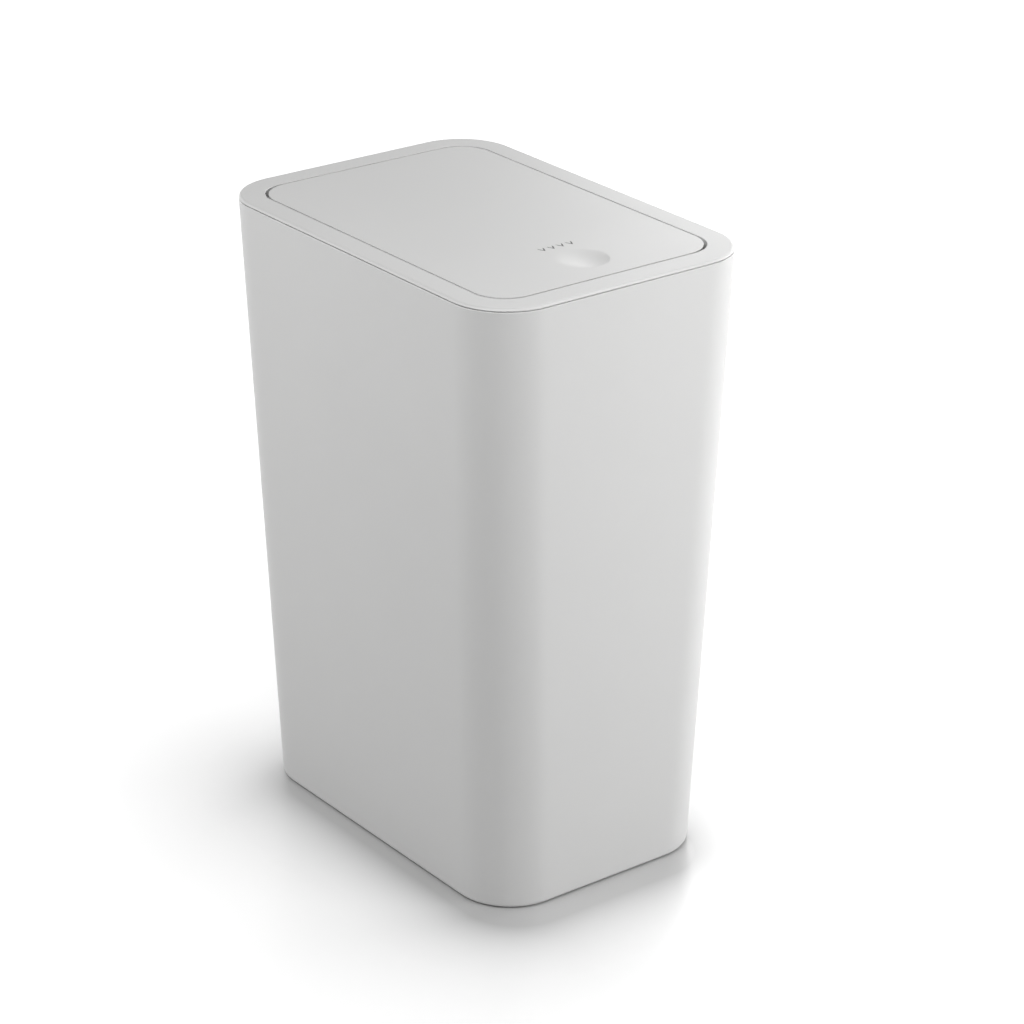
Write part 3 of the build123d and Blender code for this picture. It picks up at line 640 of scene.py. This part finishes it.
class Bucket(Assembly):
    """Tapered bucket with its pads."""

    foot: float       # height of the foot
    rim: float        # height of the rim
    top_x: float      # half width at the rim
    top_y: float      # half length at the rim

    def build(self, size: BucketSizes) -> None:
        """Builds the shell, the pad seats and the pads.

        Args:
            size: its measures.
        """
        low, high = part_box("bucket")
        self.foot, self.rim = low.z / MM, high.z / MM
        self.top_x, self.top_y = high.x / MM, high.y / MM
        self.hang(self.shell(size), Body.BUCKET, Slot.SHELL, ("bucket",))
        self.hang(self.seats(size), Body.BUCKET, Slot.SHELL)
        self.keep(Body.BUCKET, Slot.RUBBER, *FOOT_PADS)

    def loops(self, size: BucketSizes, inset: np.ndarray, z: np.ndarray) -> np.ndarray:
        """Outlines of the tapered body.

        The half sizes grow evenly from the foot to the rim, and every outline is moved in by its
        inset: half = base + (top - base) * (z - foot) / (rim - foot) - inset, and
        radius = corner - inset.

        Args:
            size: the measures.
            inset: (count,) distances in from the outer surface.
            z: (count,) heights.

        Returns:
            (count, points, 3) places.
        """
        rise = (z - self.foot) / (self.rim - self.foot)
        half_x = size.base_x + (self.top_x - size.base_x) * rise - inset
        half_y = size.base_y + (self.top_y - size.base_y) * rise - inset
        flat = Outline().loops(half_x, half_y, size.corner - inset)
        height = np.broadcast_to(z[:, None, None], (*flat.shape[:2], 1))
        return np.concatenate([flat, height], axis=-1)

    def profile(self, size: BucketSizes) -> np.ndarray:
        """The bucket's section.

        It runs from the edge of the floor up the inside, over the rim, down the outside, round the
        foot and to the hollow under the base.

        Args:
            size: the measures.

        Returns:
            (count, 2) pairs of inset and height.
        """
        wall, chamfer, rim, foot = size.wall, size.chamfer, self.rim, self.foot
        ledge = wall + size.ledge_in
        fillet, fillet_top = size.floor_fillet, size.floor_top + size.floor_fillet
        parts = [
            arc((wall + fillet, fillet_top), fillet, -90, -180, size.fillet_steps),
            [(wall, z) for z in (fillet_top + size.above_fillet, *size.inner_rows)],
            [(wall, size.ledge_low), (ledge, size.ledge_low), (ledge, size.ledge_top - chamfer),
             (ledge - chamfer, size.ledge_top), (wall, size.ledge_top)],
            [(wall, size.rim_low), (wall, rim - chamfer), (wall - chamfer, rim)],
            arc((size.rim_fillet, rim - size.rim_fillet), size.rim_fillet, 90, 180, size.rim_steps),
            [(0.0, z) for z in (rim - size.below_rim, *size.outer_rows, foot + size.above_foot)],
            arc((size.foot_fillet, foot + size.foot_fillet), size.foot_fillet, 180, 270,
                size.fillet_steps),
            [(size.foot_rim, foot), (size.foot_rim, size.under_top)],
        ]
        return np.concatenate([np.asarray(part, float) for part in parts])

    def shell(self, size: BucketSizes) -> bpy.types.Object:
        """The bucket: its section carried round the tapered outline, closed over both middles.

        Args:
            size: the measures.

        Returns:
            The piece.
        """
        rings = self.loops(size, *self.profile(size).T)
        rings = np.concatenate([shrunk(rings[0])[::-1], rings, shrunk(rings[-1])])
        return capped("bucket_shell", rings)

    def seats(self, size: BucketSizes) -> bpy.types.Object:
        """Four short collars round the pads under the base: a rectangle carried round a circle.

        Args:
            size: the measures.

        Returns:
            The piece.
        """
        root = size.under_top + size.seat_root
        section = np.array([(size.seat_inner, root), (size.seat_inner, size.seat_low),
                            (size.seat_outer, size.seat_low), (size.seat_outer, root)])
        turn = np.linspace(0.0, 2 * np.pi, size.seat_steps, endpoint=False)
        circle = np.stack([np.cos(turn), np.sin(turn)], axis=-1)
        flat = section[:, :1, None] * circle[None]
        height = np.broadcast_to(section[:, 1, None, None], (*flat.shape[:2], 1))
        collar = np.concatenate([flat, height], axis=-1).reshape(-1, 3)
        quads = strips(len(section), size.seat_steps, closed_rows=True)[:, ::-1]
        points, faces = [], []
        for pad in FOOT_PADS:
            low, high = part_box(pad)
            middle = (low + high) / 2 / MM
            faces.append(quads + len(collar) * len(points))
            points.append(collar + np.array([middle.x, middle.y, 0.0]))
        mesh = mesh_of("pad_seats", np.concatenate(points), np.concatenate(faces))
        return finish_mesh("pad_seats", mesh, SHARP_SURFACE)


def shrunk(loop: np.ndarray, shares: Sequence[float] = (0.96, 0.6, 0.25)) -> np.ndarray:
    """Copies of a loop drawn towards its middle: middle + share * (point - middle)."""
    middle = loop.mean(axis=0)
    return middle + np.asarray(shares)[:, None, None] * (loop - middle)[None]


def capped(name: str, rings: np.ndarray) -> bpy.types.Object:
    """A closed piece from a pile of loops, with a fan over the first and the last.

    Args:
        name: the piece's name.
        rings: (count, points, 3) places.

    Returns:
        The piece.
    """
    count, around = rings.shape[:2]
    tips = [rings[0].mean(axis=0), rings[-1].mean(axis=0)]
    points = np.concatenate([rings.reshape(-1, 3), tips])
    number = np.arange(count * around).reshape(count, around)
    first = fan(count * around, number[0])[:, [0, 2, 1]]
    last = fan(count * around + 1, number[-1])
    faces = [*strips(count, around).tolist(), *first.tolist(), *last.tolist()]
    return finish_mesh(name, mesh_of(name, points, faces), SHARP_SURFACE)


class BagRing(Assembly):
    """Ring that holds the bag's edge in the bucket's mouth."""

    def build(self) -> None:
        """Dresses the ring."""
        self.keep(Body.RING, Slot.RING, "bag_ring")


class LidFrame(Assembly):
    """Frame round the lid, with everything that is fixed to it or runs in it."""

    def build(self) -> None:
        """Dresses the frame, the catch, the springs, the damper and the buffers."""
        self.keep(Body.FRAME, Slot.SHELL, "lid_frame")
        self.keep(Body.FRAME, Slot.CATCH, "latch_housing", "latch_cover")
        self.keep(Body.FRAME, Slot.DAMPER, "damper_body", "damper_clip")
        self.keep(Body.FRAME, Slot.ZINC, "latch_screws", "damper_screws")
        self.keep(Body.FRAME, Slot.SPRING, "latch_spring", "latch_pin", "hinge_spring_left",
                  "hinge_spring_right", sharp=SHARP_WIRE)
        self.keep(Body.FRAME, Slot.RUBBER, "lid_buffer_left", "lid_buffer_right")
        self.keep(Body.SLIDER, Slot.SLIDER, "latch_slider")
        self.keep(Body.ROTOR, Slot.PINION, "damper_pinion")


@dataclass(frozen=True)
class Dish:
    """Fingertip dish in the lid: its bottom is off its middle, with a crisp rim on that side."""

    hole_middle: tuple[float, float] = (3.0, -82.0)    # the node's dimple, which the dish replaces
    hole_radius: float = 16.0
    hole_depth: float = 2.6
    middle: tuple[float, float] = (2.6, -81.7)
    radius: float = 15.2
    depth: float = 1.2
    lean: tuple[float, float] = (2.0, -4.0)            # shift of the middle, per unit of depth
    crisp: float = 1.2                                 # power of the slope on the crisp side
    soft: float = 1.5                                  # what the power gains on the soft side
    soft_side: float = 130.0
    rings: int = 24

    def surface(self, turn: np.ndarray, top: float) -> np.ndarray:
        """Rings of the dish, from its rim to just short of its bottom.

        With s from 1 at the rim to 0 at the bottom and a the angle round it, the depth is
        d = depth * (1 - s^2)^p, where p = crisp + soft * (1 + cos(a - soft_side)) / 2, and the
        point is middle + radius * s * (cos a, sin a) + lean * d, at top - d.

        Args:
            turn: (count,) angles in radians.
            top: height of the lid's top.

        Returns:
            (rings, count, 3) places.
        """
        share = np.linspace(1.0, 0.0, self.rings, endpoint=False)[:, None]
        power = self.crisp + self.soft * (1.0 + np.cos(turn - radians(self.soft_side))) / 2
        deep = self.depth * (1 - share ** 2) ** power
        x = self.middle[0] + self.radius * share * np.cos(turn) + self.lean[0] * deep
        y = self.middle[1] + self.radius * share * np.sin(turn) + self.lean[1] * deep
        return np.stack([x, y, top - deep], axis=-1)

    def bottom(self, top: float) -> np.ndarray:
        """The deepest point, the surface's limit at s = 0."""
        x, y = (place + lean * self.depth for place, lean in zip(self.middle, self.lean))
        return np.array([x, y, top - self.depth])


class PressLid(Assembly):
    """Flush lid with its dimple and marks, the liner under it and its fasteners."""

    def build(self, dish: Dish) -> None:
        """Dresses the lid.

        Args:
            dish: the dish for a fingertip.
        """
        self.hang(self.panel(dish), Body.LID, Slot.SHELL, ("lid_panel",))
        self.keep(Body.LID, Slot.MARK, "press_mark")
        self.keep(Body.LID, Slot.INNER, "lid_liner")
        self.keep(Body.LID, Slot.SLIDER, "lid_striker")
        self.keep(Body.LID, Slot.ZINC, "lid_screws", "striker_screws", "hinge_pin_left",
                  "hinge_pin_right")

    def panel(self, dish: Dish) -> bpy.types.Object:
        """The lid's panel: its dimple is taken out, and the dish's rings hang on the rim instead.

        Args:
            dish: the dish.

        Returns:
            The piece.
        """
        points, faces = triangles(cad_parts["lid_panel"])
        top = points[:, 2].max()
        offset = points[:, :2] - np.array(dish.hole_middle)
        near = np.hypot(*offset.T) < dish.hole_radius + RIM_REACH
        dimple = near & (points[:, 2] > top - dish.hole_depth - RIM_REACH)
        cut = dimple[faces].all(axis=1)
        rim = np.intersect1d(faces[cut], faces[~cut])
        turn = np.arctan2(offset[rim, 1], offset[rim, 0])
        order = np.argsort(turn)
        rings = dish.surface(turn[order], top)
        count, around = rings.shape[:2]
        tip = len(points) + count * around
        number = np.concatenate([rim[order], np.arange(len(points), tip)])
        bowl = number[strips(count + 1, around)]
        floor = fan(tip, number[-around:])[:, [1, 2, 0]]
        points = np.concatenate([points, rings.reshape(-1, 3), dish.bottom(top)[None]])
        faces = [*faces[~cut].tolist(), *bowl.tolist(), *floor.tolist()]
        mesh = mesh_of("lid_panel_piece", points, faces)
        return finish_mesh("lid_panel_piece", mesh, SHARP_NODE)


# ---- studio ------------------------------------------------------------------------------------
@dataclass(frozen=True)
class Lamp:
    """A soft rectangular lamp that points at a place. Its power is in watts."""

    name: str
    place: Triple
    size: tuple[float, float]
    power: float
    aim: Triple = (0.0, 0.0, 280.0)

    def build(self) -> None:
        """Adds the lamp."""
        data = bpy.data.lights.new(self.name, "AREA")
        data.shape = "RECTANGLE"
        data.size, data.size_y = (side * MM for side in self.size)
        data.energy = self.power
        lamp = link(self.name, data)
        place, aim = Vector(self.place) * MM, Vector(self.aim) * MM
        lamp.location = place
        lamp.rotation_euler = (aim - place).to_track_quat("-Z", "Y").to_euler()


@dataclass(frozen=True)
class Studio:
    """Pale floor, white surroundings, soft lamps and the camera."""

    camera_place: Triple = (-1040.0, -1390.6, 943.9)
    camera_right: Triple = (0.79607149, -0.6051897, 0.00395084)
    camera_up: Triple = (0.24096703, 0.32294486, 0.91522757)
    camera_back: Triple = (-0.5551622, -0.72763456, 0.40291796)
    lens: float = 121.227
    sensor: float = 36.0
    sight_m: float = 50.0                                 # metres that the camera sees
    lamps: tuple[Lamp, ...] = (
        Lamp("front", (350.0, -800.0, 480.0), (500.0, 300.0), 4.06),
        Lamp("left", (-800.0, 350.0, 400.0), (600.0, 300.0), 1.9),
        Lamp("over", (-600.0, -300.0, 1300.0), (700.0, 500.0), 9.02),
        Lamp("right", (900.0, -200.0, 500.0), (500.0, 400.0), 4.52),
        Lamp("rear", (500.0, 300.0, 500.0), (300.0, 300.0), 1.08),
        Lamp("back", (0.0, 1100.0, 320.0), (600.0, 300.0), 2.4),
    )
    floor_half: float = 9000.0                            # half the floor's side
    floor_colour: float = 0.45
    floor_roughness: float = 0.3
    floor_ior: float = 2.0
    # The floor glows white except near the bin, where its glow dims into a painted shadow: share
    # taken off at the foot, and the distance over which it fades by a factor e.
    painted_shadow_dips: tuple[tuple[float, float], ...] = ((0.55, 430.0), (0.43, 26.0))
    # Painted shadow: the dips centre here, off the foot's middle, so that the dimmed glow lies like
    # a cast shadow.
    painted_shadow_middle: tuple[float, float] = (-8.0, -17.0)          # middle of the dips
    footprint: Triple = (74.6, 114.3, 33.0)               # half width, half length and corner

    def build(self) -> None:
        """Sets everything up."""
        bpy.context.scene.view_settings.view_transform = "Standard"
        self.surroundings()
        self.floor()
        for lamp in self.lamps:
            lamp.build()
        self.camera()

    def surroundings(self) -> None:
        """World: white where it is seen, also in gloss or through glass, and dark as a light."""
        world = bpy.data.worlds.new("surroundings")
        bpy.context.scene.world = world
        nodes = Nodes(world)
        light = nodes.node("ShaderNodeBackground", {"Strength": nodes.seen()})
        nodes.node("ShaderNodeOutputWorld", {"Surface": light.outputs[0]})

    def floor(self) -> None:
        """Flat floor that keeps the shadow and a faint reflection.

        It glows where it is seen, and near the foot the glow dims into a painted shadow. At a
        distance d from the foot the glow is 1 less the sum of share * exp(-d / reach) over its
        dips.
        """
        corners = np.array([(-1, -1, 0), (1, -1, 0), (1, 1, 0), (-1, 1, 0)]) * self.floor_half
        mesh = mesh_of("floor", corners, [(0, 1, 2, 3)])
        floor = link("floor", mesh)
        paint = Paint("floor_white")
        # Painted shadow: the glow seen from the camera, in gloss and through glass dims close to
        # the foot.
        away = self.away_from_foot(paint).at_least(0.0)
        level: Number = 1.0
        for share, reach in self.painted_shadow_dips:
            level = level - (away * (-1.0 / (reach * MM))).exponential() * share
        mesh.materials.append(paint.finished({
            "Base Color": (*scaled(WHITE, self.floor_colour), 1.0),
            "Roughness": self.floor_roughness,
            "IOR": self.floor_ior,
            "Emission Color": paint.tint(BLACK, WHITE, level * paint.seen()),
            "Emission Strength": 1.0,
        }))

    def away_from_foot(self, paint: Paint) -> Signal:
        """Distance over the floor from the bin's rounded foot.

        It is the length of max(|point| - half size + corner, 0), less the corner.

        Args:
            paint: the floor's material.

        Returns:
            The distance in metres.
        """
        half_x, half_y, corner = (size * MM for size in self.footprint)
        point = paint.node("ShaderNodeSeparateXYZ", {"Vector": paint.place()})
        x, y = (
            (Signal(paint, point.outputs[axis]) - middle * MM).magnitude() + (corner - half)
            for axis, middle, half in zip("XY", self.painted_shadow_middle, (half_x, half_y)))
        past = paint.node("ShaderNodeCombineXYZ", {"X": x.at_least(0.0), "Y": y.at_least(0.0)})
        length = paint.node("ShaderNodeVectorMath", {0: past.outputs["Vector"]}, operation="LENGTH")
        return Signal(paint, length.outputs["Value"]) - corner

    def camera(self) -> None:
        """Camera from its place and its three directions."""
        data = bpy.data.cameras.new("camera")
        data.sensor_width = self.sensor
        data.lens = self.lens
        data.clip_end = self.sight_m
        camera = link("camera", data)
        turn = Matrix((self.camera_right, self.camera_up, self.camera_back)).transposed()
        camera.matrix_world = Matrix.Translation(Vector(self.camera_place) * MM) @ turn.to_4x4()
        bpy.context.scene.camera = camera


def main() -> None:
    """Builds every sub-assembly and the studio."""
    logging.basicConfig(level=logging.INFO, format="%(name)s: %(message)s")
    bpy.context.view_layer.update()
    paintbox = Paintbox()
    Bucket(paintbox).build(BucketSizes())
    BagRing(paintbox).build()
    LidFrame(paintbox).build()
    PressLid(paintbox).build(Dish())
    Studio().build()


if __name__ == "__main__":
    main()
